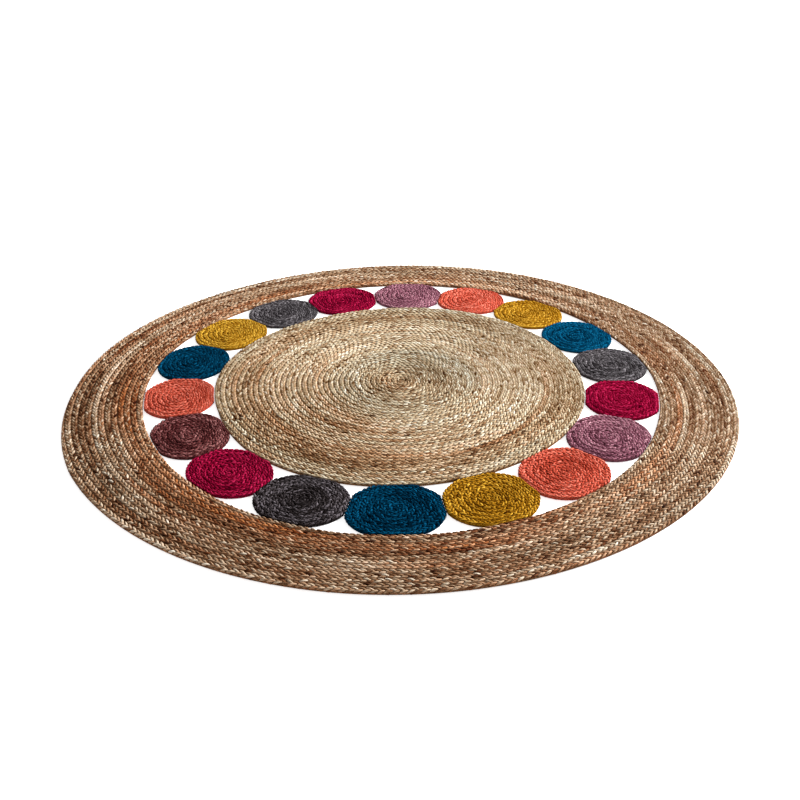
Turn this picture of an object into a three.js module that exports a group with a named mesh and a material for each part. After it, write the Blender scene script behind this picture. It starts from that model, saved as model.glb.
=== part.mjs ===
// A round rug of plaited jute, lying flat, in millimetres with +Z up.
// Natural braid is wound into a centre disc and a wide outer ring, and eighteen
// small medallions of dyed braid are sewn between them, each against its neighbours.
// The origin is the middle of the rug, on its underside.
import * as THREE from 'three';
import { mergeVertices } from 'three/addons/utils/BufferGeometryUtils.js';

// Driving sizes of the three kinds of coil.
const RUG_RADIUS = 750.5;        // mean reach of the outer ring
const HOLE_RADIUS = 590.0;       // mean radius of the ring's inner edge
const DISC_RADIUS = 428.4;       // mean radius of the centre disc
const RING_TURNS = 12.5;
const DISC_TURNS = 35.5;
const MEDALLION_TURNS = 7.5;

// Heights of a braid that is sewn flat, side by side with the next turn.
const CREST_HEIGHT = 9;          // top of a turn above the floor
const GROOVE_HEIGHT = 6;         // seam between two turns
const EDGE_HEIGHT = 4.5;         // where the last turn bulges furthest outwards
const FOOT_INSET = 2;            // the underside stays this far behind an edge

// A cut braid end is thinned over this share of a turn and tucked against its neighbour.
const RING_TAPER = 0.07;
const DISC_TAPER = 0.07;
const MEDALLION_TAPER = 0.19;
const RING_END = 184;            // degrees, where the outermost braid of the ring ends
const DISC_END = 199;            // degrees, where the outermost braid of the disc ends

// Room between sewn pieces, and how far a straight side cuts into a round one.
const SEWN_GAP = 0.5;
const RING_SIDE_ROOM = 0.9;
const DISC_SIDE_ROOM = 0.5;

// Straight sides round each turn: more of them further out, where a turn is longer.
const RING_SIDES = [
  { untilTurn: RING_TURNS, sides: 60 },
];
const DISC_SIDES = [
  { untilTurn: 3.5, sides: 12 },
  { untilTurn: 15.5, sides: 24 },
  { untilTurn: DISC_TURNS, sides: 48 },
];
const MEDALLION_SIDES = [
  { untilTurn: 3.5, sides: 8 },
  { untilTurn: MEDALLION_TURNS, sides: 16 },
];

// Hand-sewn edges are not true circles: each swell lifts an edge outwards so many
// times round the rug, by so many millimetres, with a crest at the given degrees.
const RING_EDGE_SWELLS = [
  { times: 1, height: 4.1, crest: 55 },
  { times: 2, height: 3.3, crest: 10 },
  { times: 3, height: 1.2, crest: 62 },
  { times: 4, height: 2.1, crest: -12 },
];
const HOLE_EDGE_SWELLS = [
  { times: 2, height: 7.0, crest: -68 },
  { times: 3, height: 1.0, crest: 59 },
  { times: 4, height: 2.8, crest: -21 },
];
const DISC_EDGE_SWELLS = [
  { times: 1, height: 5.9, crest: 165 },
  { times: 2, height: 1.1, crest: 68 },
  { times: 3, height: 2.5, crest: 47 },
  { times: 4, height: 2.7, crest: -19 },
];

// Natural and dyed jute.
const DYES = {
  natural_ring: '#a98763',
  natural_disc: '#b79d7a',
  lilac: '#8d6480',
  coral: '#d9654f',
  mustard: '#b98b1d',
  teal: '#0f4a66',
  grey: '#5d5960',
  charcoal: '#4a4548',
  crimson: '#a3164f',
  plum: '#5b3446',
};

// Medallions clockwise from the far side: the dye, the degrees at which each sits
// on the rug, how square its free outline is, and where its braid end lies.
const MEDALLIONS = [
  { dye: 'lilac', at: 87.8, squareness: 2.0, end: 35 },
  { dye: 'coral', at: 68.1, squareness: 2.0, end: 150 },
  { dye: 'mustard', at: 48.2, squareness: 2.0, end: 60 },
  { dye: 'teal', at: 27.7, squareness: 2.0, end: 200 },
  { dye: 'grey', at: 8.1, squareness: 2.0, end: 330 },
  { dye: 'crimson', at: -11.3, squareness: 2.0, end: 120 },
  { dye: 'lilac', at: -31.3, squareness: 2.1, end: 20 },
  { dye: 'coral', at: -51.1, squareness: 2.1, end: 230 },
  { dye: 'mustard', at: -71.0, squareness: 2.0, end: 310 },
  { dye: 'teal', at: -91.6, squareness: 2.15, end: 75 },
  { dye: 'charcoal', at: -111.8, squareness: 2.0, end: 170 },
  { dye: 'crimson', at: -132.0, squareness: 2.0, end: 260 },
  { dye: 'plum', at: -152.4, squareness: 2.1, end: 345 },
  { dye: 'coral', at: -172.4, squareness: 2.0, end: 100 },
  { dye: 'teal', at: 167.7, squareness: 2.0, end: 215 },
  { dye: 'mustard', at: 147.9, squareness: 2.1, end: 10 },
  { dye: 'grey', at: 128.2, squareness: 2.0, end: 140 },
  { dye: 'crimson', at: 108.5, squareness: 2.0, end: 290 },
];

// How much larger a medallion would lie if nothing pressed against its sides.
const MEDALLION_FULLNESS = 1.06;

const TURN = 2 * Math.PI;
const radians = THREE.MathUtils.degToRad;
const lerp = THREE.MathUtils.lerp;
const clamp = THREE.MathUtils.clamp;

function swell(swells, angle) {
  return swells.reduce(
    (sum, { times, height, crest }) => sum + height * Math.cos(times * (angle - radians(crest))),
    0,
  );
}

// The winding of one coil: every turn lies a pitch outside the last, and runs
// clockwise outwards. A place on it is given in turns from its start.
function winding({ startRadius, pitch, turns, taper, endAngle, blocks, hollow }) {
  const steps = [0];
  let from = 0;
  for (const { untilTurn, sides } of blocks) {
    const count = Math.round((untilTurn - from) * sides);
    for (let i = 1; i <= count; i += 1) steps.push(from + i / sides);
    from = untilTurn;
  }
  const startShare = (turn) => (hollow ? clamp(turn / taper, 0, 1) : 1);
  const endShare = (turn) => clamp((turns - turn) / taper, 0, 1);
  const outer = (turn) => startRadius + pitch * (turn + endShare(turn));
  const inner = (turn) => (turn < 1 ? outer(turn) - pitch * startShare(turn) : outer(turn - 1));
  return {
    steps,
    turns,
    hollow,
    rimSides: blocks.at(-1).sides,
    angle: (turn) => endAngle + (turns - turn) * TURN,
    outer,
    inner: hollow ? inner : (turn) => (turn < 1 ? 0 : outer(turn - 1)),
    share: (turn) => Math.min(startShare(turn), endShare(turn)),
    startShare,
  };
}

const ringWinding = winding({
  startRadius: HOLE_RADIUS - (RUG_RADIUS - HOLE_RADIUS) / RING_TURNS / 2,
  pitch: (RUG_RADIUS - HOLE_RADIUS) / RING_TURNS,
  turns: RING_TURNS,
  taper: RING_TAPER,
  endAngle: radians(RING_END),
  blocks: RING_SIDES,
  hollow: true,
});

const discWinding = winding({
  startRadius: -DISC_RADIUS / DISC_TURNS / 2,
  pitch: DISC_RADIUS / DISC_TURNS,
  turns: DISC_TURNS,
  taper: DISC_TAPER,
  endAngle: radians(DISC_END),
  blocks: DISC_SIDES,
  hollow: false,
});

// Where a point of the ring or the disc lies once the edges have their swells.
function ringRadius(radius, angle) {
  const across = (radius - HOLE_RADIUS) / (RUG_RADIUS - HOLE_RADIUS);
  return radius + lerp(swell(HOLE_EDGE_SWELLS, angle), swell(RING_EDGE_SWELLS, angle), across);
}

function discRadius(radius, angle) {
  return radius + swell(DISC_EDGE_SWELLS, angle) * (radius / DISC_RADIUS) ** 2;
}

// The turn of a winding that passes a given angle between two whole turns.
function turnAt(coil, angle, fromTurn) {
  const turnsAhead = (coil.angle(fromTurn) - angle) / TURN;
  return fromTurn + (turnsAhead - Math.floor(turnsAhead));
}

function holeEdge(angle) {
  return ringRadius(ringWinding.inner(turnAt(ringWinding, angle, 0)), angle);
}

function discEdge(angle) {
  return discRadius(discWinding.outer(turnAt(discWinding, angle, DISC_TURNS - 1)), angle);
}

// Triangles between two lines that run side by side along a winding.
function sewStrip(innerLine, outerLine) {
  const faces = [];
  let i = 0;
  let o = 0;
  while (i < innerLine.length - 1 || o < outerLine.length - 1) {
    const innerLeft = i < innerLine.length - 1;
    const outerLeft = o < outerLine.length - 1;
    if (!outerLeft || (innerLeft && innerLine[i + 1].turn <= outerLine[o + 1].turn)) {
      faces.push([innerLine[i].point, innerLine[i + 1].point, outerLine[o].point]);
      i += 1;
    } else {
      faces.push([innerLine[i].point, outerLine[o + 1].point, outerLine[o].point]);
      o += 1;
    }
  }
  return faces;
}

// A foot on the floor under an edge point, drawn in or out by the inset.
function footUnder(point, inset) {
  const reach = Math.hypot(point.x, point.y);
  const scale = (reach - inset) / reach;
  return new THREE.Vector3(point.x * scale, point.y * scale, 0);
}

// The wall from an edge down to its feet, facing outwards from an outer edge and
// inwards from a hole's edge.
function edgeWall(edge, feet, facesOut) {
  const faces = [];
  for (let j = 0; j < edge.length; j += 1) {
    const next = (j + 1) % edge.length;
    const pair = [
      [edge[j], edge[next], feet[j]],
      [edge[next], feet[next], feet[j]],
    ];
    faces.push(...(facesOut ? pair : pair.map(([a, b, c]) => [a, c, b])));
  }
  return faces;
}

function geometryOf(faces) {
  const solid = faces.filter(([a, b, c]) => !a.equals(b) && !b.equals(c) && !c.equals(a));
  const geometry = new THREE.BufferGeometry().setFromPoints(solid.flat());
  return mergeVertices(geometry, 1e-3);
}

// A coil as one closed body: a ridge for each turn on top, a flat underside, and
// rounded-in edges. place() puts a radius and an angle where the piece has them.
function coilGeometry(coil, place) {
  const pointAt = (radius, turn, height) => {
    const { x, y } = place(radius, coil.angle(turn));
    return new THREE.Vector3(x, y, height);
  };
  const rimStart = coil.turns - 1;
  const isRim = (turn) => turn > rimStart - 1e-6;
  const grooveHeight = (turn) => (
    isRim(turn) ? EDGE_HEIGHT : lerp(EDGE_HEIGHT, GROOVE_HEIGHT, coil.startShare(turn))
  );
  const crestHeight = (turn) => lerp(EDGE_HEIGHT, CREST_HEIGHT, Math.sqrt(coil.share(turn)));
  const groove = coil.steps.map((turn) => ({
    turn,
    point: pointAt(coil.outer(turn), turn, grooveHeight(turn)),
  }));
  const crest = coil.steps.map((turn) => ({
    turn,
    point: pointAt((coil.inner(turn) + coil.outer(turn)) / 2, turn, crestHeight(turn)),
  }));
  const grooveInside = groove
    .filter(({ turn }) => turn < rimStart + 1e-6)
    .map(({ turn, point }) => ({ turn: turn + 1, point }));
  const middle = new THREE.Vector3(0, 0, GROOVE_HEIGHT);
  const firstInside = coil.hollow
    ? coil.steps
      .filter((turn) => turn < 1 - 1e-6)
      .map((turn) => ({ turn, point: pointAt(coil.inner(turn), turn, EDGE_HEIGHT) }))
    : [{ turn: 0, point: middle }];
  const inside = [...firstInside, ...grooveInside];
  const faces = [...sewStrip(inside, crest), ...sewStrip(crest, groove)];

  const rim = groove.filter(({ turn }) => isRim(turn)).slice(0, -1).map(({ point }) => point);
  const rimFeet = rim.map((point) => footUnder(point, FOOT_INSET));
  faces.push(...edgeWall(rim, rimFeet, true));
  if (coil.hollow) {
    const hole = firstInside.map(({ point }) => point);
    const holeFeet = hole.map((point) => footUnder(point, -FOOT_INSET));
    faces.push(...edgeWall(hole, holeFeet, false));
    const offset = Math.round((rimStart % 1) * coil.rimSides);
    const opposite = (j) => rimFeet[(j - offset + coil.rimSides) % coil.rimSides];
    for (let j = 0; j < coil.rimSides; j += 1) {
      const next = (j + 1) % coil.rimSides;
      faces.push([holeFeet[j], opposite(j), opposite(next)]);
      faces.push([holeFeet[j], opposite(next), holeFeet[next]]);
    }
  } else {
    faces.push([middle, crest[0].point, groove[0].point]);
    const footMiddle = new THREE.Vector3(0, 0, 0);
    rimFeet.forEach((foot, j) => {
      faces.push([footMiddle, foot, rimFeet[(j + 1) % rimFeet.length]]);
    });
  }
  return geometryOf(faces);
}

function braidMaterial(dye) {
  return new THREE.MeshStandardMaterial({ color: DYES[dye], roughness: 0.95, metalness: 0 });
}

function outerRing() {
  const place = (radius, angle) => {
    const reach = ringRadius(radius, angle);
    return { x: reach * Math.cos(angle), y: reach * Math.sin(angle) };
  };
  const mesh = new THREE.Mesh(coilGeometry(ringWinding, place), braidMaterial('natural_ring'));
  mesh.name = 'outer_ring';
  return mesh;
}

function centreDisc() {
  const place = (radius, angle) => {
    const reach = discRadius(radius, angle);
    return { x: reach * Math.cos(angle), y: reach * Math.sin(angle) };
  };
  const mesh = new THREE.Mesh(coilGeometry(discWinding, place), braidMaterial('natural_disc'));
  mesh.name = 'centre_disc';
  return mesh;
}

// A medallion is wound round, and then pressed into its place: between the disc and
// the ring, and against the lines half-way to its two neighbours.
function medallion({ dye, at, squareness, end }, index, row) {
  const angle = radians(at);
  const halfWayTo = (other) => {
    const apart = radians(other.at) - angle;
    return Math.atan2(Math.sin(apart), Math.cos(apart)) / 2;
  };
  const clockwiseLimit = halfWayTo(row[(index + 1) % row.length]);
  const anticlockwiseLimit = halfWayTo(row[(index + row.length - 1) % row.length]);
  const centreRadius = (holeEdge(angle) + discEdge(angle)) / 2;
  const sideways = centreRadius * Math.sin((anticlockwiseLimit - clockwiseLimit) / 2);
  const halfAcross = MEDALLION_FULLNESS * (holeEdge(angle) - discEdge(angle)) / 2;
  const halfAlong = MEDALLION_FULLNESS * sideways;

  const outline = (direction) => {
    const free = (
      Math.abs(Math.cos(direction) / halfAcross) ** squareness
      + Math.abs(Math.sin(direction) / halfAlong) ** squareness
    ) ** (-1 / squareness);
    const x = centreRadius + free * Math.cos(direction);
    const y = free * Math.sin(direction);
    const sideGap = SEWN_GAP / 2 / Math.hypot(x, y);
    const around = clamp(Math.atan2(y, x), clockwiseLimit + sideGap, anticlockwiseLimit - sideGap);
    const reach = clamp(
      Math.hypot(x, y),
      discEdge(angle + around) + SEWN_GAP + DISC_SIDE_ROOM,
      holeEdge(angle + around) - SEWN_GAP - RING_SIDE_ROOM,
    );
    return { x: reach * Math.cos(around) - centreRadius, y: reach * Math.sin(around) };
  };

  const meanRadius = (halfAcross + halfAlong) / 2;
  const coil = winding({
    startRadius: -meanRadius / MEDALLION_TURNS / 2,
    pitch: meanRadius / MEDALLION_TURNS,
    turns: MEDALLION_TURNS,
    taper: MEDALLION_TAPER,
    endAngle: radians(end),
    blocks: MEDALLION_SIDES,
    hollow: false,
  });
  const place = (radius, direction) => {
    const rim = coil.outer(turnAt(coil, direction, MEDALLION_TURNS - 1));
    const edge = outline(direction);
    const stretch = lerp(1, Math.hypot(edge.x, edge.y) / rim, (radius / rim) ** 2);
    return {
      x: stretch * radius * Math.cos(direction),
      y: stretch * radius * Math.sin(direction),
    };
  };
  const mesh = new THREE.Mesh(coilGeometry(coil, place), braidMaterial(dye));
  mesh.name = `medallion_${String(index + 1).padStart(2, '0')}_${dye}`;
  mesh.position.set(centreRadius * Math.cos(angle), centreRadius * Math.sin(angle), 0);
  mesh.rotation.z = angle;
  return mesh;
}

const rug = new THREE.Group();
rug.add(outerRing(), centreDisc(), ...MEDALLIONS.map(medallion));
export default rug;
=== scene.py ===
# %% [markdown]
# # A round rug of plaited jute
# The rug is made of one long craft: three strands of jute are plaited into a flat braid, and
# the braid is wound round and round and sewn to itself. A wide ring and a centre disc are
# natural jute, and eighteen small dyed medallions are sewn between them.
# This lesson dresses the imported solids with the real braid, stitch by stitch. Sizes are
# worked out in millimetres and turned to metres only when a mesh is made.

# %% Load the imported frame
import math
from types import SimpleNamespace

import bpy
import numpy as np
from mathutils import Matrix, Vector


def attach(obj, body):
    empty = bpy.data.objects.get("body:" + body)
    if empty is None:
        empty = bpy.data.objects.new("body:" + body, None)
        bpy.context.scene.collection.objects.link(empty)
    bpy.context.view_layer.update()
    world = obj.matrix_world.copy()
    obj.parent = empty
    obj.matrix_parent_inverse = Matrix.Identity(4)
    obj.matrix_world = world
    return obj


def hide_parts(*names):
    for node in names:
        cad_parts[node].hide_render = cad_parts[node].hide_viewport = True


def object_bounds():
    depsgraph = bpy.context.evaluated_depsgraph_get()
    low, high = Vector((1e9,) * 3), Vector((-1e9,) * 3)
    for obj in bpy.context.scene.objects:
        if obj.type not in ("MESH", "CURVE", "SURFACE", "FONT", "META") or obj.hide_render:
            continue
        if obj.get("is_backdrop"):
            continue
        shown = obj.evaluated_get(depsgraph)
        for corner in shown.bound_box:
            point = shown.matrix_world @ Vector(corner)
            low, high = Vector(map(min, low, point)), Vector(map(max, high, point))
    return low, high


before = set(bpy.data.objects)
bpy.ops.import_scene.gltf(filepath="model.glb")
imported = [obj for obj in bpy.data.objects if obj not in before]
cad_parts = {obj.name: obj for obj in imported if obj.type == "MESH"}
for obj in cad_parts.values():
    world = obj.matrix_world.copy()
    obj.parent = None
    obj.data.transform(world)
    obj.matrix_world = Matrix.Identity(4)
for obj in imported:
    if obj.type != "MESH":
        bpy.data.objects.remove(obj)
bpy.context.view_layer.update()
MM = 0.001
TURN = 2 * math.pi
random = np.random.default_rng(2753)

# %% [markdown]
# ## Colour
# Colours are picked as sRGB hex values, as a dyer's card gives them. Blender mixes light in
# linear numbers, so one function turns a hex value to those.

# %% A colour from its hex value
def colour(hex_value):
    parts = [int(hex_value[i:i + 2], 16) / 255 for i in (1, 3, 5)]
    linear = [c / 12.92 if c <= 0.04045 else ((c + 0.055) / 1.055) ** 2.4 for c in parts]
    return (*linear, 1.0)

print("straw:", [round(c, 3) for c in colour("#c9ad83")])

# %% [markdown]
# ## Camera
# The photograph looks down on the rug from the front at about 28 degrees. The camera stands
# there, aims at a spot on the floor a little behind the rug's middle, and leans by a fifth of
# a degree. The rug sits low in the picture, so the frame is shifted by a few percent of its
# width and not the whole camera turned, which keeps the circles' shape right.

# %% Place the camera
CAMERA_PLACE = Vector((0.0, -2.0327, 1.0683))
CAMERA_AIM = Vector((0.0742, 0.2576, 0.0))
CAMERA_LEAN = math.radians(0.2013)
camera_data = bpy.data.cameras.new("camera")
camera_data.sensor_width = 36
camera_data.lens = 44.32
camera_data.shift_x = -0.0378
camera_data.shift_y = -0.0798
camera = bpy.data.objects.new("camera", camera_data)
bpy.context.scene.collection.objects.link(camera)
aimed = (CAMERA_AIM - CAMERA_PLACE).to_track_quat("-Z", "Y").to_matrix().to_4x4()
leaned = Matrix.Rotation(CAMERA_LEAN, 4, "Z")
camera.matrix_world = Matrix.Translation(CAMERA_PLACE) @ aimed @ leaned
bpy.context.scene.camera = camera
print("camera height:", CAMERA_PLACE.z)

# %% [markdown]
# ## The windings
# Each coil is a flat spiral: every turn lies one braid width outside the last and runs
# clockwise outwards. A place on the braid is told in turns from its start. The same sizes
# made the solids, so the braid lands exactly on them.

# %% Sizes of the coils, in millimetres and degrees
RUG_RADIUS, HOLE_RADIUS, DISC_RADIUS = 750.5, 590.0, 428.4
RING_TURNS, DISC_TURNS, MEDALLION_TURNS = 12.5, 35.5, 7.5
RING_TAPER, DISC_TAPER, MEDALLION_TAPER = 0.07, 0.07, 0.19
RING_END, DISC_END = 184, 199
SEWN_GAP, RING_SIDE_ROOM, DISC_SIDE_ROOM = 0.5, 0.9, 0.5
RING_EDGE_SWELLS = [(1, 4.1, 55), (2, 3.3, 10), (3, 1.2, 62), (4, 2.1, -12)]
HOLE_EDGE_SWELLS = [(2, 7.0, -68), (3, 1.0, 59), (4, 2.8, -21)]
DISC_EDGE_SWELLS = [(1, 5.9, 165), (2, 1.1, 68), (3, 2.5, 47), (4, 2.7, -19)]
MEDALLIONS = [
    ("lilac", 87.8, 2.0, 35), ("coral", 68.1, 2.0, 150), ("mustard", 48.2, 2.0, 60),
    ("teal", 27.7, 2.0, 200), ("grey", 8.1, 2.0, 330), ("crimson", -11.3, 2.0, 120),
    ("lilac", -31.3, 2.1, 20), ("coral", -51.1, 2.1, 230), ("mustard", -71.0, 2.0, 310),
    ("teal", -91.6, 2.15, 75), ("charcoal", -111.8, 2.0, 170), ("crimson", -132.0, 2.0, 260),
    ("plum", -152.4, 2.1, 345), ("coral", -172.4, 2.0, 100), ("teal", 167.7, 2.0, 215),
    ("mustard", 147.9, 2.1, 10), ("grey", 128.2, 2.0, 140), ("crimson", 108.5, 2.0, 290),
]
print("coils:", 2 + len(MEDALLIONS))

# %% A winding, told in turns from its start
def winding(start_radius, pitch, turns, taper, end_degrees, hollow):
    def end_share(turn):
        return np.clip((turns - turn) / taper, 0, 1)

    def outer(turn):
        return start_radius + pitch * (turn + end_share(turn))

    def inner(turn):
        share = np.clip(turn / taper, 0, 1) if hollow else 1.0
        first = outer(turn) - pitch * share
        return np.maximum(np.where(turn < 1, first, outer(turn - 1)), 0)

    def angle(turn):
        return math.radians(end_degrees) + (turns - turn) * TURN

    return SimpleNamespace(turns=turns, pitch=pitch, outer=outer, inner=inner, angle=angle)


def swell(swells, angle):
    return sum(height * np.cos(times * (angle - math.radians(crest)))
               for times, height, crest in swells)


def turn_at(coil, angle, from_turn):
    ahead = (coil.angle(from_turn) - angle) / TURN
    return from_turn + (ahead - np.floor(ahead))


ring_pitch = (RUG_RADIUS - HOLE_RADIUS) / RING_TURNS
disc_pitch = DISC_RADIUS / DISC_TURNS
ring_coil = winding(HOLE_RADIUS - ring_pitch / 2, ring_pitch, RING_TURNS,
                    RING_TAPER, RING_END, hollow=True)
disc_coil = winding(-disc_pitch / 2, disc_pitch, DISC_TURNS,
                    DISC_TAPER, DISC_END, hollow=False)
print("braid widths:", round(ring_pitch, 2), round(disc_pitch, 2), "mm")

# %% Where the ring and the disc lie, with their hand-sewn swells
def ring_radius(radius, angle):
    across = (radius - HOLE_RADIUS) / (RUG_RADIUS - HOLE_RADIUS)
    hole, rim = swell(HOLE_EDGE_SWELLS, angle), swell(RING_EDGE_SWELLS, angle)
    return radius + hole + (rim - hole) * across


def disc_radius(radius, angle):
    return radius + swell(DISC_EDGE_SWELLS, angle) * (radius / DISC_RADIUS) ** 2


def hole_edge(angle):
    return ring_radius(ring_coil.inner(turn_at(ring_coil, angle, 0)), angle)


def disc_edge(angle):
    return disc_radius(disc_coil.outer(turn_at(disc_coil, angle, DISC_TURNS - 1)), angle)


def rim_edge(angle):
    return ring_radius(ring_coil.outer(turn_at(ring_coil, angle, RING_TURNS - 1)), angle)


def on_ring(radius, angle):
    reach = ring_radius(radius, angle)
    return reach * np.cos(angle), reach * np.sin(angle)


def on_disc(radius, angle):
    reach = disc_radius(radius, angle)
    return reach * np.cos(angle), reach * np.sin(angle)


print("gap between disc and ring:", round(float(hole_edge(0.0) - disc_edge(0.0)), 1), "mm")

# %% Each medallion, pressed into its place between its neighbours
FULLNESS = 1.06            # how much larger a medallion would lie if nothing pressed against it


def medallion_coil(index):
    dye, at, squareness, end = MEDALLIONS[index]
    angle = math.radians(at)

    def half_way_to(other):
        apart = math.radians(MEDALLIONS[other % len(MEDALLIONS)][1]) - angle
        return math.atan2(math.sin(apart), math.cos(apart)) / 2

    low, high = half_way_to(index + 1), half_way_to(index - 1)
    centre = float(hole_edge(angle) + disc_edge(angle)) / 2
    half_across = float(hole_edge(angle) - disc_edge(angle)) / 2 * FULLNESS
    half_along = centre * math.sin((high - low) / 2) * FULLNESS

    def reach(direction):
        free = (np.abs(np.cos(direction) / half_across) ** squareness
                + np.abs(np.sin(direction) / half_along) ** squareness) ** (-1 / squareness)
        x, y = centre + free * np.cos(direction), free * np.sin(direction)
        gap = SEWN_GAP / 2 / np.hypot(x, y)
        around = np.clip(np.arctan2(y, x), low + gap, high - gap)
        far = np.clip(np.hypot(x, y),
                      disc_edge(angle + around) + SEWN_GAP + DISC_SIDE_ROOM,
                      hole_edge(angle + around) - SEWN_GAP - RING_SIDE_ROOM)
        return np.hypot(far * np.cos(around) - centre, far * np.sin(around))

    mean = (half_across + half_along) / 2
    pitch = mean / MEDALLION_TURNS
    coil = winding(-pitch / 2, pitch, MEDALLION_TURNS, MEDALLION_TAPER, end, hollow=False)

    def place(radius, direction):
        rim = coil.outer(turn_at(coil, direction, MEDALLION_TURNS - 1))
        stretch = 1 + (reach(direction) / rim - 1) * (radius / rim) ** 2
        x = centre + stretch * radius * np.cos(direction)
        y = stretch * radius * np.sin(direction)
        return (x * math.cos(angle) - y * math.sin(angle),
                x * math.sin(angle) + y * math.cos(angle))

    return SimpleNamespace(dye=dye, coil=coil, place=place,
                           node=f"medallion_{index + 1:02d}_{dye}")


medallions = [medallion_coil(i) for i in range(len(MEDALLIONS))]
print("medallions:", len(medallions), "braid", round(medallions[0].coil.pitch, 1), "mm wide")

# %% [markdown]
# ## One stitch of the plait
# Seen from above, a three-strand plait is two rows of leaning stitches that meet in a V. Each
# stitch is one strand coming up round the braid's edge, running inwards over the top and
# diving under the next strand. It could be three long tubes crossing each other, but most of
# their length would lie unseen. So one stitch is modelled as a short arched strand with
# rounded ends, and is then repeated.

# %% Model one stitch from a sphere: lengthen and flatten it
STITCH_PITCH = 12.4        # from one stitch to the next in the same row
DYED_STITCH_PITCH = 10.2   # the dyed plait is a little finer
BRAID_HALF = 6.4           # half the width of the braid that the stitch is drawn for
BRAID_THICKNESS = 9.0
STITCH_HALF_LENGTH, STITCH_HALF_WIDTH, STITCH_HALF_THICK = 9.4, 2.8, 2.7
STITCH_LEAN = math.radians(-20)
STITCH_ACROSS = 2.7        # how far its middle lies from the braid's middle line
ARCH_ALONG = [-1.00, -0.71, 0.0, 0.71, 1.00]
ARCH_HEIGHT = [4.4, 5.7, 6.3, 5.7, 4.4]

bpy.ops.object.select_all(action="DESELECT")
bpy.ops.mesh.primitive_uv_sphere_add(segments=6, ring_count=4, radius=1)
stitch = bpy.context.object
stitch.name = "stitch_pattern"
bpy.ops.object.mode_set(mode="EDIT")
bpy.ops.mesh.select_all(action="SELECT")
bpy.ops.transform.rotate(value=math.pi / 2, orient_axis="Y", center_override=(0, 0, 0))
bpy.ops.transform.resize(value=(STITCH_HALF_LENGTH, STITCH_HALF_WIDTH, STITCH_HALF_THICK))
bpy.ops.object.mode_set(mode="OBJECT")
print("stitch:", len(stitch.data.vertices), "points,", len(stitch.data.polygons), "faces")

# %% Arch it over the braid and lean it towards the middle line
for vertex in stitch.data.vertices:
    vertex.co.z += np.interp(vertex.co.x / STITCH_HALF_LENGTH, ARCH_ALONG, ARCH_HEIGHT)
bpy.ops.object.mode_set(mode="EDIT")
bpy.ops.mesh.select_all(action="SELECT")
bpy.ops.transform.rotate(value=STITCH_LEAN, orient_axis="Z", center_override=(0, 0, 0))
bpy.ops.transform.translate(value=(0, STITCH_ACROSS, 0))
bpy.ops.object.mode_set(mode="OBJECT")
stitch_points = np.array([v.co for v in stitch.data.vertices], float)
stitch_faces = [list(p.vertices) for p in stitch.data.polygons]
stitch_map = np.array([loop.uv for loop in stitch.data.uv_layers[0].data], float)
low, high = stitch_points.min(0), stitch_points.max(0)
CREST = high[2]
print("stitch from", low.round(1), "to", high.round(1), "mm")
bpy.data.objects.remove(stitch)

# %% [markdown]
# ## Laying the plait
# The stitches are laid along each winding as a braider's rows: one on the outer side, the
# next on the inner side half a step further, and every third one belongs to the same strand.
# An Array along a Curve would do for a plain spiral. Here each stitch is also bent along its
# turn, thinned where the braid ends, and shifted a little, as hand work is, so its points are
# placed in code. At an open edge the strand goes on round the side and under the braid. The
# relief says how deep the plait's hollows are: full in the ring, less in the pressed disc.

# %% The length of a winding, told at many places along it
PLACES_A_TURN = 240
TIGHT_RADIUS = 6.0         # keeps the stitches of the innermost turn from stretching


def length_along(coil, place):
    turn = np.linspace(0, coil.turns, int(coil.turns * PLACES_A_TURN) + 1)
    x, y = place((coil.inner(turn) + coil.outer(turn)) / 2, coil.angle(turn))
    step = np.hypot(np.diff(x), np.diff(y))
    roomy = np.hypot(step, np.diff(turn) * TURN * TIGHT_RADIUS)
    return turn, np.concatenate([[0], np.cumsum(roomy)])


print("ring braid:", round(length_along(ring_coil, on_ring)[1][-1] * MM, 1), "m long")

# %% Where every stitch of a coil goes
THIN_END = 0.55            # height left where a cut end is tucked in
UNEVEN_SIZE, SIZE_RANGE = 0.05, (0.88, 1.12)       # shares of a stitch's own size
UNEVEN_LIFT, LIFT_RANGE = 0.22, (-0.5, 0.4)        # in mm
UNEVEN_SHIFT, UNEVEN_SKEW = 0.35, 0.05             # in mm along the braid, and in mm a mm


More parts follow.
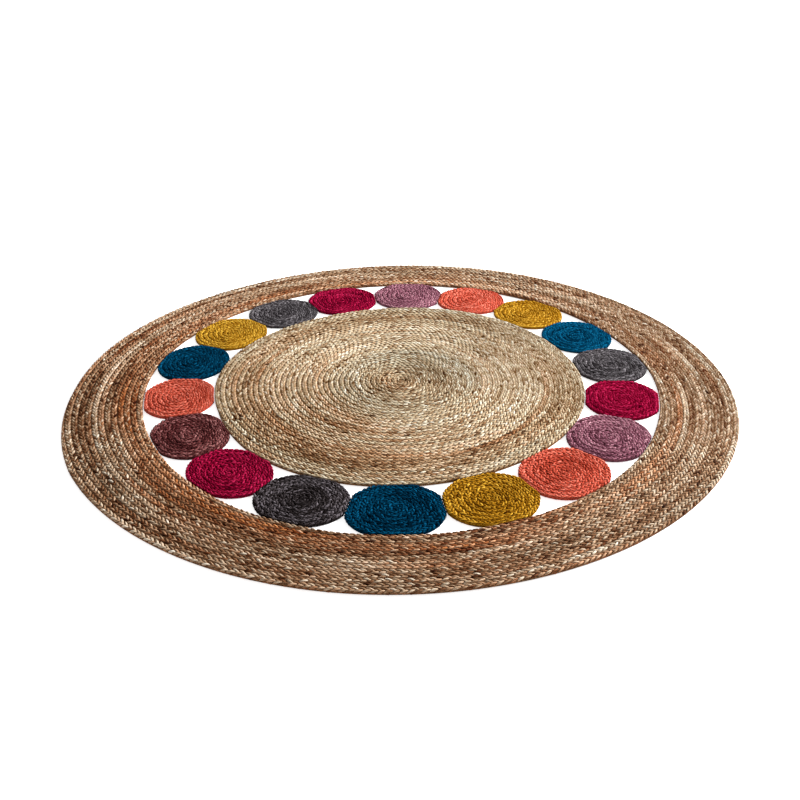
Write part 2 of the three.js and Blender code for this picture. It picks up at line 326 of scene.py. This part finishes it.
def lay_plait(coil, place, hollow=False, pitch=STITCH_PITCH, relief=1.0):
    turn, length = length_along(coil, place)
    count = int(length[-1] / (pitch / 2)) - 1
    index = np.arange(count)
    middle = (index + 1) * pitch / 2
    side = np.where(index % 2 == 0, 1.0, -1.0)
    at_turn = np.interp(middle, length, turn)
    under = ((side > 0) & (at_turn > coil.turns - 1)) | (hollow & (side < 0) & (at_turn < 1))
    furthest = np.where(under, BRAID_HALF, 2 * BRAID_HALF)
    index = np.concatenate([index, index[under]])
    below = np.arange(len(index)) >= count
    order = np.lexsort((below, index))
    index, below = index[order], below[order]
    size = random.normal(1, UNEVEN_SIZE, count).clip(*SIZE_RANGE)[index]
    shift = random.normal(0, UNEVEN_SHIFT, count)[index]
    lift = random.normal(0, UNEVEN_LIFT, count).clip(*LIFT_RANGE)[index]
    skew = random.normal(0, UNEVEN_SKEW, count)[index]
    px, py, pz = (stitch_points[None, :, k] for k in range(3))
    along = px * size[:, None] * pitch / STITCH_PITCH
    across = py * (2 - size[:, None]) + px * skew[:, None]
    across = np.minimum(across, furthest[index][:, None])
    height = CREST - (CREST - pz) * relief + lift[:, None]
    at_edge = stitch_points[stitch_points[:, 1].argmax(), 0]
    along = np.where(below[:, None], 2 * at_edge + pitch / 2 - along, along)
    height = np.where(below[:, None], BRAID_THICKNESS - height, height)
    spot = middle[index][:, None] + shift[:, None] + along
    on_turn = np.interp(spot, length, turn)
    inner, outer = coil.inner(on_turn), coil.outer(on_turn)
    share = ((outer - inner) / coil.pitch).clip(0, 1)
    across = across * side[index][:, None]
    radius = (inner + outer) / 2 + across * (outer - inner) / 2 / BRAID_HALF
    x, y = place(radius, coil.angle(on_turn))
    thinned = THIN_END + (1 - THIN_END) * share
    height = BRAID_THICKNESS / 2 + (height - BRAID_THICKNESS / 2) * thinned
    return SimpleNamespace(points=np.stack([x, y, height], -1), index=index, count=count,
                           turn=at_turn[index], angle=coil.angle(at_turn[index]),
                           flipped=side[index] < 0)


ring_plait = lay_plait(ring_coil, on_ring, hollow=True)
disc_plait = lay_plait(disc_coil, on_disc, relief=0.85)
for m in medallions:
    m.plait = lay_plait(m.coil, m.place, pitch=DYED_STITCH_PITCH, relief=0.7)
for name, plait in (("ring", ring_plait), ("disc", disc_plait), ("lilac", medallions[0].plait)):
    round_edge = len(plait.index) - plait.count
    print(name, "braid:", plait.count, "stitches,", round_edge, "go on round the edge")

# %% [markdown]
# ## Fibre colour
# Jute is never one colour: each strand is spun from bundles that change every hand's length,
# and single dark or bleached bits of bark are caught in it. Paint could be splashed over the
# rug by a noise in space, but then the patches would cross from braid to braid. So each
# stitch is given two numbers, a tone and a warmth, that run along its own strand, and a
# slower drift is shared by all three strands, as the batch of jute changes. Negative warmth
# is greyer jute. Each natural coil is also painted greyer on the side towards the key lamp,
# as a painted sheen.

# %% Numbers that drift along the strands, or follow a list of bands
def strand_drift(count, run, strands=3):
    steps = random.normal(size=(strands, count // strands + run + 3))
    window = np.hanning(run + 2)[1:-1]
    window /= np.sqrt((window ** 2).sum())
    drift = np.array([np.convolve(row, window, "valid") for row in steps])
    stitches = np.arange(count)
    return drift[stitches % strands, stitches // strands]


def banded(where, bands):
    return np.interp(where, [b[0] for b in bands], [b[1] for b in bands])


print("half way between two bands:", banded(0.5, [(0, 0.2), (1, 0.6)]))

# %% The tone and warmth of every stitch
BATCH_RUN, HUE_RUN = 90, 60            # stitches after which the jute of all strands changes
STRAND_RUN, STRAND_HUE_RUN = 9, 16     # stitches of one strand after which its bundle changes
STRAND_DRIFT, STITCH_HUE = 0.07, 0.05
FLECKS, FLECK_DEPTH = 0.045, 0.28      # the share of dark stitches, where bark is caught
PALE, PALE_LIFT = 0.01, 0.15           # the share of bleached stitches


def stitch_colours(plait, tones, warmths, batch=0.06, speckle=0.08, mottle=0.20,
                   painted_sheen=0.0, sheen_side=0.0):
    count = plait.count
    first = np.searchsorted(plait.index, np.arange(count))
    turn = plait.turn[first]
    tone = banded(turn, tones) + batch * strand_drift(count, BATCH_RUN, strands=1)
    tone += STRAND_DRIFT * strand_drift(count, STRAND_RUN) + speckle * random.normal(size=count)
    tone -= FLECK_DEPTH * (random.random(count) < FLECKS)
    tone += PALE_LIFT * (random.random(count) < PALE)
    warmth = banded(turn, warmths) + mottle * strand_drift(count, HUE_RUN, strands=1)
    warmth += mottle * strand_drift(count, STRAND_HUE_RUN)
    warmth += STITCH_HUE * random.normal(size=count)
    # painted sheen: greyer towards the key lamp's side
    warmth -= painted_sheen * np.cos(plait.angle[first] - math.radians(sheen_side))
    return tone[plait.index].clip(0, 1), warmth[plait.index].clip(-1, 1)


print("shares of dark and bleached stitches:", FLECKS, PALE)

# %% The bands of the ring, the disc and the medallions, by turns from the start
RING_TONES = [(0, 0.46), (1.5, 0.44), (3, 0.41), (5, 0.41), (6, 0.43), (7, 0.49), (8, 0.51),
              (9.3, 0.33), (10.5, 0.38), (11.2, 0.48), (11.6, 0.51), (12.05, 0.40), (12.5, 0.51)]
RING_WARMTHS = [(0, -0.15), (1.5, 0.4), (3.5, 0.3), (5, 0.0), (7, -0.15), (8.5, -0.2),
                (10.5, -0.1), (12.5, -0.2)]
DISC_TONES = [(0, 0.47), (4, 0.42), (7, 0.52), (13, 0.62), (25, 0.59), (28, 0.50), (30.5, 0.47),
              (32.5, 0.51), (34, 0.55), (35.5, 0.55)]
DISC_WARMTHS = [(0, 0.0), (3, -0.1), (5, -0.5), (13, -0.4), (16, 0.0), (20, 0.0), (28, 0.1),
                (31, 0.0), (33, -0.25), (35.5, -0.4)]
DYED_TONES = [(0, 0.43), (7.5, 0.51)]
# some medallions are painted paler or deeper than others of their colour, as painted light:
# the rug's far side looks brighter, so two far ones are paler and three near ones deeper
DEEPER_OR_PALER = {"medallion_04_teal": 0.13, "medallion_07_lilac": -0.04,
                   "medallion_08_coral": -0.05, "medallion_11_charcoal": -0.03,
                   "medallion_16_mustard": 0.15}
NO_WARMTH = [(0, 0.0), (7.5, 0.0)]
# the ring's painted sheen faces the key lamp at 20 degrees, the disc's at 50
ring_plait.tone, ring_plait.warmth = stitch_colours(ring_plait, RING_TONES, RING_WARMTHS,
                                                    painted_sheen=0.25, sheen_side=20)
disc_plait.tone, disc_plait.warmth = stitch_colours(disc_plait, DISC_TONES, DISC_WARMTHS,
                                                    batch=0.035, mottle=0.12,
                                                    painted_sheen=0.2, sheen_side=50)
for m in medallions:
    painted_light_shift = DEEPER_OR_PALER.get(m.node, 0.0)
    tones = [(turn, tone + painted_light_shift) for turn, tone in DYED_TONES]
    m.plait.tone, m.plait.warmth = stitch_colours(m.plait, tones, NO_WARMTH,
                                                  batch=0.035, speckle=0.06)
print("ring tones from", ring_plait.tone.min().round(2), "to", ring_plait.tone.max().round(2))

# %% [markdown]
# ## The look of jute
# Jute is a dry and stiff fibre from a plant's bast, so it has next to no gloss. What one sees
# is colour: fine fibres along each strand. A photograph of a braid could be laid over the rug,
# but it would repeat. Here a noise that is stretched along the strand draws the fibres, and
# each stitch's own tone and warmth choose its shade. The height above the floor then lays
# painted shade into the hollows where one strand dives under the next, so that only the
# crests stay light.

# %% One node with its settings and links, and an empty material
def add_node(tree, kind, links=None, **settings):
    node = tree.nodes.new("ShaderNode" + kind)
    for name, value in settings.items():
        if hasattr(node, name):
            setattr(node, name, value)
        else:
            node.inputs[name.replace("_", " ")].default_value = value
    for socket, source in (links or {}).items():
        tree.links.new(source, node.inputs[socket])
    return node


def empty_material(name):
    material = bpy.data.materials.new(name)
    material.use_nodes = True
    material.node_tree.nodes.clear()
    return material


def set_stops(node, stops):
    elements = node.color_ramp.elements
    while len(elements) < len(stops):
        elements.new(0.5)
    for element, (place, shade) in zip(elements, stops):
        element.position, element.color = place, colour(shade)


print("materials before the jute:", len(bpy.data.materials))

# %% How a stitch's warmth tints it, and how its height lays painted shade on it
# A Mix node for colours takes its amount at socket 0 and the two colours at 6 and 7.
PAINTED_SHADE_LOW, PAINTED_SHADE_HIGH = 4.0, 8.6       # heights in mm between which a strand comes into the light
PAINTED_SHADE_DEPTH = 0.9                       # how fully the painted shade is laid on at the bottom
TINTS = {1.0: "#f2b27e", -1.0: "#dfe9f0"}       # golden bark, and greyer, bleached jute


def tinted(tree, shown):
    warmth = add_node(tree, "Attribute", attribute_name="warmth").outputs["Fac"]
    for furthest, tint in TINTS.items():
        amount = add_node(tree, "MapRange", {"Value": warmth}, From_Min=0.0, From_Max=furthest)
        mixed = add_node(tree, "Mix", {0: amount.outputs["Result"], 6: shown},
                         data_type="RGBA", blend_type="MULTIPLY")
        mixed.inputs[7].default_value = colour(tint)
        shown = mixed.outputs[2]
    return shown


# Painted shade: the lower a point lies, the more of a darker colour is multiplied into it,
# standing in for the shadow in the hollows between strands, so that only the crests stay light.
def painted_seam_shade(tree, shown, painted_shade_colour):
    place = add_node(tree, "TexCoord").outputs["Object"]
    height = add_node(tree, "SeparateXYZ", {"Vector": place}).outputs["Z"]
    painted_shade = add_node(tree, "MapRange", {"Value": height}, interpolation_type="SMOOTHSTEP",
                     From_Min=PAINTED_SHADE_LOW * MM, From_Max=PAINTED_SHADE_HIGH * MM,
                     To_Min=PAINTED_SHADE_DEPTH, To_Max=0.0)
    mixed = add_node(tree, "Mix", {0: painted_shade.outputs["Result"], 6: shown},
                     data_type="RGBA", blend_type="MULTIPLY")
    mixed.inputs[7].default_value = colour(painted_shade_colour)
    return mixed.outputs[2]


print("seams darken below", PAINTED_SHADE_HIGH, "mm")

# %% Plaited jute
# Jute, spun into strands and plaited by hand. To the eye it is matt and dry, and striped by
# fine fibres. They are too fine to show in the render, so they are drawn in coarse bundles:
# a strand is 17.5 mm round and a bundle 2.2 mm wide. A stitch shows 19 mm of its strand, so
# the 1.6 bundles that lie end to end along it are 12 mm long, and the dyed 3 about 5 mm.
FIBRES_ROUND = 8
FIBRE_DENT = 0.5           # how deep the fibres dent the strand, in mm


# The colour given for the hollows is multiplied in there as painted shade.
def plaited_jute(name, ramp, painted_shade_colour="#b27a4e", fibre=0.28, along=1.6, shine=0.05, natural=True):
    material = empty_material(name)
    tree = material.node_tree
    tone = add_node(tree, "Attribute", attribute_name="tone").outputs["Fac"]
    strand = add_node(tree, "UVMap", uv_map="strand").outputs["UV"]
    drawn = add_node(tree, "Mapping", {"Vector": strand}, Scale=(FIBRES_ROUND, along, 1))
    noise = add_node(tree, "TexNoise", {"Vector": drawn.outputs["Vector"]},
                     noise_dimensions="2D", Scale=1.0, Detail=2.0, Roughness=0.6)
    fibres = noise.outputs["Fac"]
    spread = add_node(tree, "MapRange", {"Value": fibres},
                      From_Min=0.25, From_Max=0.75, To_Min=-fibre, To_Max=fibre)
    mixed = add_node(tree, "Math", {0: tone, 1: spread.outputs["Result"]}, operation="ADD")
    shades = add_node(tree, "ValToRGB", {"Fac": mixed.outputs["Value"]})
    set_stops(shades, ramp)
    shown = shades.outputs["Color"]
    if natural:
        shown = tinted(tree, shown)
    # painted shade in the hollows, by height
    shown = painted_seam_shade(tree, shown, painted_shade_colour)
    rough = add_node(tree, "MapRange", {"Value": fibres}, To_Min=0.95, To_Max=0.7)
    bump = add_node(tree, "Bump", {"Height": fibres}, Strength=0.6, Distance=FIBRE_DENT * MM)
    surface = add_node(tree, "BsdfPrincipled", {
        "Base Color": shown, "Roughness": rough.outputs["Result"],
        "Normal": bump.outputs["Normal"]}, IOR=1.45, Specular_IOR_Level=shine)
    add_node(tree, "OutputMaterial", {"Surface": surface.outputs["BSDF"]})
    return material


bundle_width = TURN * STITCH_HALF_WIDTH / FIBRES_ROUND
print("a drawn bundle of fibres is", round(bundle_width, 1), "mm wide")

# %% The natural jute of the ring and the disc
# Undyed jute keeps the colours of its bark. It gives the eye golden brown in the ring, with
# dark brown strands, and pale straw in the disc.
RING_JUTE = [(0.0, "#2c1206"), (0.22, "#663c20"), (0.42, "#987658"), (0.60, "#bda488"),
             (0.80, "#ddceb8"), (1.0, "#f3ebdc")]
DISC_JUTE = [(0.0, "#30190a"), (0.22, "#694626"), (0.42, "#997c5c"), (0.60, "#baa686"),
             (0.80, "#dacdb4"), (1.0, "#f1ebda")]
materials = {"natural_ring": plaited_jute("golden_brown_jute_plait", RING_JUTE),
             "natural_disc": plaited_jute("straw_jute_plait", DISC_JUTE)}
print("natural jute:", [m.name for m in materials.values()])

# %% The dyed jute of the medallions
# Jute dyed in the hank before it is plaited. The dye gives the eye one strong and even hue
# with no gloss at all, paler where the fibres stand up, and painted shade lies in the hollows.
DYES = {
    "lilac": ["#3a1a22", "#855060", "#d2a0aa"],
    "coral": ["#7a261a", "#c2503c", "#e8907c"],
    "mustard": ["#482605", "#9a6912", "#deb142"],
    "teal": ["#00101c", "#022e46", "#0c6088"],
    "grey": ["#131011", "#444042", "#928c90"],
    "charcoal": ["#0e0a0a", "#302a2a", "#867e84"],
    "crimson": ["#3a0110", "#86082c", "#c42a58"],
    "plum": ["#22090b", "#602e2e", "#b27a78"],
}
DYE_PLACES = (0.1, 0.5, 0.95)          # the tones at which the deep, middle and pale shade lie
for dye, shades in DYES.items():
    # a grey painted shade, which darkens the dyes in the hollows without changing their hue
    materials[dye] = plaited_jute(dye + "_dyed_jute_plait", list(zip(DYE_PLACES, shades)),
                                  painted_shade_colour="#9c9c9c", fibre=0.38, along=3.0, shine=0.0,
                                  natural=False)
print("materials:", len(materials))

# %% [markdown]
# ## The braid's mesh
# Blender can copy an object thousands of times, but the stitches here differ, so their
# points go into one mesh for each length of braid. The stitch's own map is kept as "strand":
# it runs along the fibres. A second map, "OFBake", gives each stitch a little square of its
# own, so that its colours can be painted to one picture for use outside Blender.

# %% The corners of a stitch, straight and mirrored
# A mirrored stitch has its faces' corners told backwards, so that they still point outwards.
CORNERS = sum(len(face) for face in stitch_faces)
TRIANGLES = sum(len(face) - 2 for face in stitch_faces)
starts = np.cumsum([0] + [len(face) for face in stitch_faces])[:-1]
straight = np.concatenate(stitch_faces)
mirrored = np.concatenate([face[::-1] for face in stitch_faces])
backwards = np.concatenate([np.arange(start, start + len(face))[::-1]
                            for start, face in zip(starts, stitch_faces)])
print("a stitch has", CORNERS, "corners and", TRIANGLES, "triangles")

# %% Make a piece of braid from its stitches
MAP_SPREAD = 40            # each stitch takes its fibres from another place of the noise
CELL_MARGIN = 0.06         # the share of its atlas square that is left free on every side


def braid_piece(name, plait, chosen, material):
    points = plait.points[chosen]
    count, each = points.shape[:2]
    flipped = plait.flipped[chosen]
    corner = np.where(flipped[:, None], mirrored, straight) + each * np.arange(count)[:, None]
    own_map = np.where(flipped[:, None, None], stitch_map[backwards], stitch_map)
    mesh = bpy.data.meshes.new(name)
    mesh.vertices.add(count * each)
    mesh.vertices.foreach_set("co", (points * MM).astype(np.float32).ravel())
    mesh.loops.add(count * CORNERS)
    mesh.loops.foreach_set("vertex_index", corner.astype(np.int32).ravel())
    mesh.polygons.add(count * len(stitch_faces))
    loop_starts = starts + CORNERS * np.arange(count)[:, None]
    mesh.polygons.foreach_set("loop_start", loop_starts.astype(np.int32).ravel())
    mesh.update(calc_edges=True)
    strand = mesh.uv_layers.new(name="strand")
    moved = own_map + random.random((count, 1, 2)) * MAP_SPREAD
    strand.uv.foreach_set("vector", moved.astype(np.float32).ravel())
    cells = math.ceil(math.sqrt(count))
    cell = np.stack([np.arange(count) % cells, np.arange(count) // cells], -1)[:, None, :]
    shrunk = CELL_MARGIN + (1 - 2 * CELL_MARGIN) * own_map
    atlas = mesh.uv_layers.new(name="OFBake")
    atlas.uv.foreach_set("vector", ((cell + shrunk) / cells).astype(np.float32).ravel())
    for label, values in (("tone", plait.tone), ("warmth", plait.warmth)):
        layer = mesh.attributes.new(label, "FLOAT", "POINT")
        layer.data.foreach_set("value", np.repeat(values[chosen], each).astype(np.float32))
    mesh.shade_smooth()
    mesh.materials.append(material)
    piece = bpy.data.objects.new(name, mesh)
    bpy.context.scene.collection.objects.link(piece)
    print(name, count, "stitches,", count * TRIANGLES, "triangles")
    return piece


# %% The ring and the disc in two lengths of braid each, and the medallions in one
RING_JOIN, DISC_JOIN = 6.4, 25.2       # turns at which one length of braid ends


def two_lengths(name, plait, join, material):
    return [braid_piece(name + "_inside", plait, plait.turn < join, material),
            braid_piece(name + "_outside", plait, plait.turn >= join, material)]


ring_pieces = two_lengths("outer_ring_braid", ring_plait, RING_JOIN, materials["natural_ring"])
disc_pieces = two_lengths("centre_disc_braid", disc_plait, DISC_JOIN, materials["natural_disc"])
for m in medallions:
    m.piece = braid_piece(m.node + "_braid", m.plait, m.plait.turn >= 0, materials[m.dye])

# %% [markdown]
# ## The body under the stitches
# Between and under the stitches one sees the lower strands of the plait, in shadow. They
# could be modelled as more stitches, but hardly any would show. So they are a thin mat under
# each coil, coloured darker than the stitches as painted shade. It also is the sheet whose
# flat size is measured.

# %% Material of the lower strands
# The same jute, spun and plaited, but seen only in shadow. Its colour is a darker copy of the
# braid's own, as painted shade, and gives the eye a dark and matt ground, so that no floor
# shines through the gaps.
LOWER_FIBRE_SCALE = 350.0              # about 3 mm from one dark fibre bundle to the next


def lower_strands(name, deep, middle):
    material = empty_material(name)
    tree = material.node_tree
    place = add_node(tree, "TexCoord").outputs["Object"]
    noise = add_node(tree, "TexNoise", {"Vector": place}, Scale=LOWER_FIBRE_SCALE, Detail=3.0)
    shades = add_node(tree, "ValToRGB", {"Fac": noise.outputs["Fac"]})
    set_stops(shades, [(0.3, deep), (0.75, middle)])
    bump = add_node(tree, "Bump", {"Height": noise.outputs["Fac"]}, Strength=0.7, Distance=MM)
    surface = add_node(tree, "BsdfPrincipled", {
        "Base Color": shades.outputs["Color"], "Normal": bump.outputs["Normal"]},
        Roughness=0.95, Specular_IOR_Level=0.0)
    add_node(tree, "OutputMaterial", {"Surface": surface.outputs["BSDF"]})
    return material


# darker copies of the jute's colours, as painted shade
lower = {"natural_ring": lower_strands("shaded_natural_jute", "#38200f", "#7e6046"),
         "natural_disc": lower_strands("shaded_pale_jute", "#38210f", "#80603f")}
for dye, shades in DYES.items():
    lower[dye] = lower_strands(f"shaded_{dye}_jute", *shades[:2])
print("lower strands:", len(lower))

# %% A flat closed mat within a coil's edges
MAT_LOW, MAT_THICK, MAT_INSET = 0.6, 5.8, 0.6      # in mm, as the next one is
MAT_ROUNDING = 1.5
SMOOTH_BELOW = math.radians(40)        # edges blunter than this are shaded smooth


def mat(name, edge, material, hole=None):
    bpy.ops.object.select_all(action="DESELECT")
    bpy.ops.mesh.primitive_circle_add(vertices=len(edge), radius=1)
    made = bpy.context.object
    made.name = made.data.name = name
    loops = [edge]
    bpy.ops.object.mode_set(mode="EDIT")
    if hole is None:
        bpy.ops.mesh.select_all(action="SELECT")
        bpy.ops.mesh.edge_face_add()
    else:
        loops.append(hole)
        bpy.ops.mesh.primitive_circle_add(vertices=len(hole), radius=0.5)
        bpy.ops.mesh.select_all(action="SELECT")
        bpy.ops.mesh.bridge_edge_loops()
    bpy.ops.object.mode_set(mode="OBJECT")
    for vertex, (x, y) in zip(made.data.vertices, np.concatenate(loops)):
        vertex.co = (x * MM, y * MM, MAT_LOW * MM)
    wall = made.modifiers.new("thickness", "SOLIDIFY")
    wall.thickness, wall.offset = MAT_THICK * MM, 1
    rounded = made.modifiers.new("rounded_edge", "BEVEL")
    rounded.width, rounded.segments = MAT_ROUNDING * MM, 2
    for modifier in ("thickness", "rounded_edge"):
        bpy.ops.object.modifier_apply(modifier=modifier)
    bpy.ops.object.mode_set(mode="EDIT")
    bpy.ops.mesh.select_all(action="SELECT")
    bpy.ops.mesh.normals_make_consistent(inside=False)
    bpy.ops.object.mode_set(mode="OBJECT")
    lift = MAT_LOW * MM - min(v.co.z for v in made.data.vertices)
    made.data.transform(Matrix.Translation((0, 0, lift)))
    bpy.ops.object.shade_smooth_by_angle(angle=SMOOTH_BELOW)
    made.data.materials.append(material)
    heights = [v.co.z for v in made.data.vertices]
    print(name, "from", round(min(heights) / MM, 2), "to", round(max(heights) / MM, 2), "mm")
    return made


print("mats are", MAT_THICK, "mm thick")

# %% The mats of all coils, a little inside their edges
def edge_line(count, reach, inset=0.0):
    angles = np.linspace(0, TURN, count, endpoint=False)
    radius = reach(angles) - inset
    return np.stack([radius * np.cos(angles), radius * np.sin(angles)], -1)


def medallion_line(count, medallion, inset=0.0):
    directions = np.linspace(0, TURN, count, endpoint=False)
    coil = medallion.coil
    radius = coil.outer(turn_at(coil, directions, coil.turns - 1)) - inset
    return np.stack(medallion.place(radius, directions), -1)


RING_CORNERS, DISC_CORNERS, MEDALLION_CORNERS = 240, 180, 48
ring_mat = mat("outer_ring_mat", edge_line(RING_CORNERS, rim_edge, MAT_INSET),
               lower["natural_ring"], edge_line(RING_CORNERS, hole_edge, -MAT_INSET))
disc_mat = mat("centre_disc_mat", edge_line(DISC_CORNERS, disc_edge, MAT_INSET),
               lower["natural_disc"])
for m in medallions:
    m.mat = mat(m.node + "_mat", medallion_line(MEDALLION_CORNERS, m, MAT_INSET), lower[m.dye])

# %% [markdown]
# ## Floor and light
# The rug lies on a plain white floor in soft light from all sides. One round lamp stands low
# behind it on the right, near enough that the rug's left front is dimmer, and it gives the
# plait its relief. The floor glows a little, as a lit studio sweep does, and so stays white.

# %% Floor
# Matt white wall paint, rolled on. It gives the eye an even white without a glint.
FLOOR_SIZE = 120           # so wide, in metres, that no edge of it shows
FLOOR_GLOW = 0.7
bpy.ops.object.select_all(action="DESELECT")
bpy.ops.mesh.primitive_plane_add(size=FLOOR_SIZE)
floor = bpy.context.object
floor.name = "floor"
white = bpy.data.materials.new("matt_white_paint")
white.use_nodes = True
paint = white.node_tree.nodes["Principled BSDF"].inputs
paint["Base Color"].default_value = (0.95, 0.95, 0.95, 1)
paint["Roughness"].default_value = 0.9
paint["Specular IOR Level"].default_value = 0.1
paint["Emission Color"].default_value = (1, 1, 1, 1)
paint["Emission Strength"].default_value = FLOOR_GLOW
floor.data.materials.append(white)
floor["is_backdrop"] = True
print("floor:", FLOOR_SIZE, "m wide")

# %% Light
KEY_AZIMUTH, KEY_HEIGHT, KEY_FAR = math.radians(20), math.radians(27), 3.9
KEY_SIZE, KEY_POWER, SKY_STRENGTH = 0.7, 430, 0.4
world = bpy.data.worlds.new("soft_studio")
world.use_nodes = True
sky = world.node_tree.nodes["Background"].inputs
sky["Color"].default_value = (1, 1, 1, 1)
sky["Strength"].default_value = SKY_STRENGTH
bpy.context.scene.world = world
key_data = bpy.data.lights.new("key_light", "AREA")
key_data.shape, key_data.size, key_data.energy = "DISK", KEY_SIZE, KEY_POWER
key = bpy.data.objects.new("key_light", key_data)
bpy.context.scene.collection.objects.link(key)
key_direction = Vector((math.cos(KEY_HEIGHT) * math.cos(KEY_AZIMUTH),
                        math.cos(KEY_HEIGHT) * math.sin(KEY_AZIMUTH), math.sin(KEY_HEIGHT)))
key.location = key_direction * KEY_FAR
key.rotation_euler = key_direction.to_track_quat("Z", "Y").to_euler()
bpy.context.scene.view_settings.view_transform = "Standard"
print("key light at", [round(x, 2) for x in key.location])

# %% [markdown]
# ## Tie everything to the frame
# Each piece rides on the rug's one body and stands for the solid that it dresses. For each
# coil the flat size and area of its sheet, lying on the floor at the size it is sewn to, are
# printed.

# %% Ride, replace, and print each sheet's size
def flat_size(edge):
    return tuple(round(float(x) * MM, 4) for x in np.ptp(edge, axis=0))


def flat_area(edge):
    x, y = edge[:, 0], edge[:, 1]
    return abs(float((x * np.roll(y, -1) - y * np.roll(x, -1)).sum() / 2)) * MM * MM


LEAST_SHARE = 0.3001       # the ring is rounded up to this, the least share that a sheet may say


def dress(node, body, pieces, edge, hole_area=0.0):
    for piece in (body, *pieces):
        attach(piece, "root")
        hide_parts(node)
    width, length = flat_size(edge)
    area = flat_area(edge) - hole_area
    print(node, "covers", round(area / width / length, 4), "of its width by its length")
    area = round(max(area, LEAST_SHARE * width * length), 5)
    print(node, "flat", (width, length), "area", area)


EDGE_POINTS, MEDALLION_POINTS = 720, 180       # how finely the edges are measured
hole_area = flat_area(edge_line(EDGE_POINTS, hole_edge))
dress("outer_ring", ring_mat, ring_pieces,
      edge_line(EDGE_POINTS, rim_edge), hole_area)
dress("centre_disc", disc_mat, disc_pieces, edge_line(EDGE_POINTS, disc_edge))
for m in medallions:
    dress(m.node, m.mat, [m.piece], medallion_line(MEDALLION_POINTS, m))

# %% Find the visual box, and finish
low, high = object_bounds()
print("visual box:", [round(x, 4) for x in high - low])
